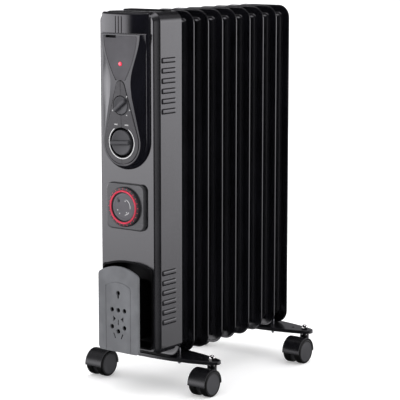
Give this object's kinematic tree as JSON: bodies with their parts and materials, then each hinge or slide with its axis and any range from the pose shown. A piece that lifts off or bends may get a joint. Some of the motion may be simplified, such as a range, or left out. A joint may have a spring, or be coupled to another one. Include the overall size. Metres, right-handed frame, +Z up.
{
  "type": "oil filled radiator heater",
  "caption": "Tall oil filled radiator with pressed fins, a front housing with power, thermostat and timer controls, a cord winder, and swivel casters under two crossbars.",
  "frame": {"origin": "on the floor under the middle of the object's box", "axes": "+Z up, the control face looks towards -Y, +X to the right as a user faces it"},
  "size_m": [0.263, 0.423, 0.643],
  "materials": {
    "fin_enamel": "gloss black enamel",
    "housing_enamel": "semi-gloss black enamel",
    "console_plastic": "polished black",
    "panel_plastic": "satin dark grey",
    "knob_plastic": "satin black",
    "winder_plastic": "satin dark grey",
    "bay_plastic": "satin black",
    "timer_plastic": "semi-gloss black",
    "tappet_red": "gloss red",
    "lamp_red": "clear red",
    "caster_plastic": "satin black",
    "wheel_plastic": "fine matt dark grey",
    "bright_steel": "bright plated",
    "plain_steel": "zinc plated",
    "phenolic": "moulded",
    "gland_rubber": "matt"
  },
  "bodies": {
    "body": {"fin_1": "fin_enamel", "fin_2": "fin_enamel", "fin_3": "fin_enamel", "fin_4": "fin_enamel", "fin_5": "fin_enamel", "fin_6": "fin_enamel", "fin_7": "fin_enamel", "fin_8": "fin_enamel", "fin_9": "fin_enamel", "hub_rings": "fin_enamel", "oil_filler_plug": "plain_steel", "heating_element": "plain_steel", "heat_shield": "plain_steel", "terminal_block": "phenolic", "thermal_cutout": "phenolic", "shroud": "housing_enamel", "case_screws": "plain_steel", "grip_insert": "console_plastic", "console": "console_plastic", "control_panel": "panel_plastic", "scale_plate": "panel_plastic", "lamp_lens": "lamp_red", "power_switch": "phenolic", "thermostat_body": "phenolic", "timer_block": "timer_plastic", "timer_body": "phenolic", "timer_face": "panel_plastic", "bay_liner": "bay_plastic", "winder_hub": "bay_plastic", "winder_plate": "winder_plastic", "cord_gland": "gland_rubber", "front_bracket": "fin_enamel", "rear_bracket": "fin_enamel", "u_bolts": "plain_steel", "wing_nuts": "plain_steel", "cap_nuts": "bright_steel", "caster_stems": "plain_steel"},
    "power_control": {"power_knob": "knob_plastic", "power_switch_shaft": "plain_steel"},
    "thermostat_control": {"thermostat_knob": "knob_plastic", "thermostat_shaft": "plain_steel"},
    "timer_ring": {"timer_dial": "timer_plastic"},
    "timer_pins": {"timer_tappets": "tappet_red"},
    "timer_switch": {"timer_mode_slider": "knob_plastic"},
    "front_left_caster": {"front_left_hood": "caster_plastic", "front_left_axle": "plain_steel"},
    "front_left_inner": {"front_left_inner_wheel": "wheel_plastic"},
    "front_left_outer": {"front_left_outer_wheel": "wheel_plastic"},
    "front_right_caster": {"front_right_hood": "caster_plastic", "front_right_axle": "plain_steel"},
    "front_right_inner": {"front_right_inner_wheel": "wheel_plastic"},
    "front_right_outer": {"front_right_outer_wheel": "wheel_plastic"},
    "rear_left_caster": {"rear_left_hood": "caster_plastic", "rear_left_axle": "plain_steel"},
    "rear_left_inner": {"rear_left_inner_wheel": "wheel_plastic"},
    "rear_left_outer": {"rear_left_outer_wheel": "wheel_plastic"},
    "rear_right_caster": {"rear_right_hood": "caster_plastic", "rear_right_axle": "plain_steel"},
    "rear_right_inner": {"rear_right_inner_wheel": "wheel_plastic"},
    "rear_right_outer": {"rear_right_outer_wheel": "wheel_plastic"}
  },
  "joints": [
    {"name": "power_turn", "type": "hinge", "parent": "body", "child": "power_control", "pos_m": [0, -0.19, 0.4885], "axis": [0, 1, 0], "range_deg": [0, 90]},
    {"name": "thermostat_turn", "type": "hinge", "parent": "body", "child": "thermostat_control", "pos_m": [0, -0.19, 0.427], "axis": [0, 1, 0], "range_deg": [-252, 72]},
    {"name": "timer_turn", "type": "hinge", "parent": "body", "child": "timer_ring", "pos_m": [0, -0.195, 0.319], "axis": [0, 1, 0], "continuous": true},
    {"name": "tappets_push", "type": "slide", "parent": "timer_ring", "child": "timer_pins", "axis": [0, 1, 0], "range_m": [0, 0.0012]},
    {"name": "timer_mode_slide", "type": "slide", "parent": "body", "child": "timer_switch", "axis": [0, 0, -1], "range_m": [0, 0.003]},
    {"name": "front_left_swivel", "type": "hinge", "parent": "body", "child": "front_left_caster", "pos_m": [-0.113, -0.1015, 0.047], "axis": [0, 0, 1], "continuous": true},
    {"name": "front_left_inner_spin", "type": "hinge", "parent": "front_left_caster", "child": "front_left_inner", "pos_m": [-0.113, -0.1225, 0.022], "axis": [1, 0, 0], "continuous": true},
    {"name": "front_left_outer_spin", "type": "hinge", "parent": "front_left_caster", "child": "front_left_outer", "pos_m": [-0.113, -0.1225, 0.022], "axis": [1, 0, 0], "continuous": true},
    {"name": "front_right_swivel", "type": "hinge", "parent": "body", "child": "front_right_caster", "pos_m": [0.113, -0.1015, 0.047], "axis": [0, 0, 1], "continuous": true},
    {"name": "front_right_inner_spin", "type": "hinge", "parent": "front_right_caster", "child": "front_right_inner", "pos_m": [0.113, -0.1225, 0.022], "axis": [1, 0, 0], "continuous": true},
    {"name": "front_right_outer_spin", "type": "hinge", "parent": "front_right_caster", "child": "front_right_outer", "pos_m": [0.113, -0.1225, 0.022], "axis": [1, 0, 0], "continuous": true},
    {"name": "rear_left_swivel", "type": "hinge", "parent": "body", "child": "rear_left_caster", "pos_m": [-0.113, 0.1785, 0.047], "axis": [0, 0, 1], "continuous": true},
    {"name": "rear_left_inner_spin", "type": "hinge", "parent": "rear_left_caster", "child": "rear_left_inner", "pos_m": [-0.113, 0.1575, 0.022], "axis": [1, 0, 0], "continuous": true},
    {"name": "rear_left_outer_spin", "type": "hinge", "parent": "rear_left_caster", "child": "rear_left_outer", "pos_m": [-0.113, 0.1575, 0.022], "axis": [1, 0, 0], "continuous": true},
    {"name": "rear_right_swivel", "type": "hinge", "parent": "body", "child": "rear_right_caster", "pos_m": [0.113, 0.1785, 0.047], "axis": [0, 0, 1], "continuous": true},
    {"name": "rear_right_inner_spin", "type": "hinge", "parent": "rear_right_caster", "child": "rear_right_inner", "pos_m": [0.113, 0.1575, 0.022], "axis": [1, 0, 0], "continuous": true},
    {"name": "rear_right_outer_spin", "type": "hinge", "parent": "rear_right_caster", "child": "rear_right_outer", "pos_m": [0.113, 0.1575, 0.022], "axis": [1, 0, 0], "continuous": true}
  ]
}
